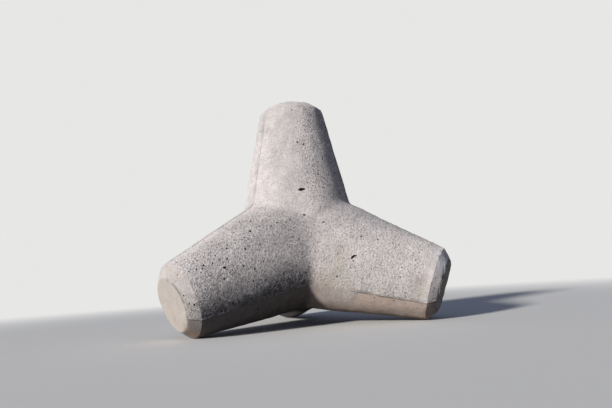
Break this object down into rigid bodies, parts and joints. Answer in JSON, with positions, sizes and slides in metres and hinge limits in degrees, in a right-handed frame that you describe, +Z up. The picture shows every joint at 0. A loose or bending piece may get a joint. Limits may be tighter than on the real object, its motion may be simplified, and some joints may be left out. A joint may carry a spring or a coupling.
{
  "type": "concrete tetrapod",
  "caption": "Cast concrete sea-defence block: equal tapering legs with bevelled ends spread evenly from one centre, so it stands on any side and interlocks with its neighbours to break waves.",
  "frame": {"origin": "the point where the axes of the legs meet, which is the centre of mass", "axes": "+Z up along the upright leg, +Y towards the lower leg that points back, +X to the right in the picture, between the other two lower legs"},
  "size_m": [2.1286, 1.9221, 1.7895],
  "materials": {
    "concrete": "cast concrete, pale warm grey, pitted and weathered, matt"
  },
  "bodies": {
    "root": {"tetrapod": "concrete"}
  },
  "joints": []
}
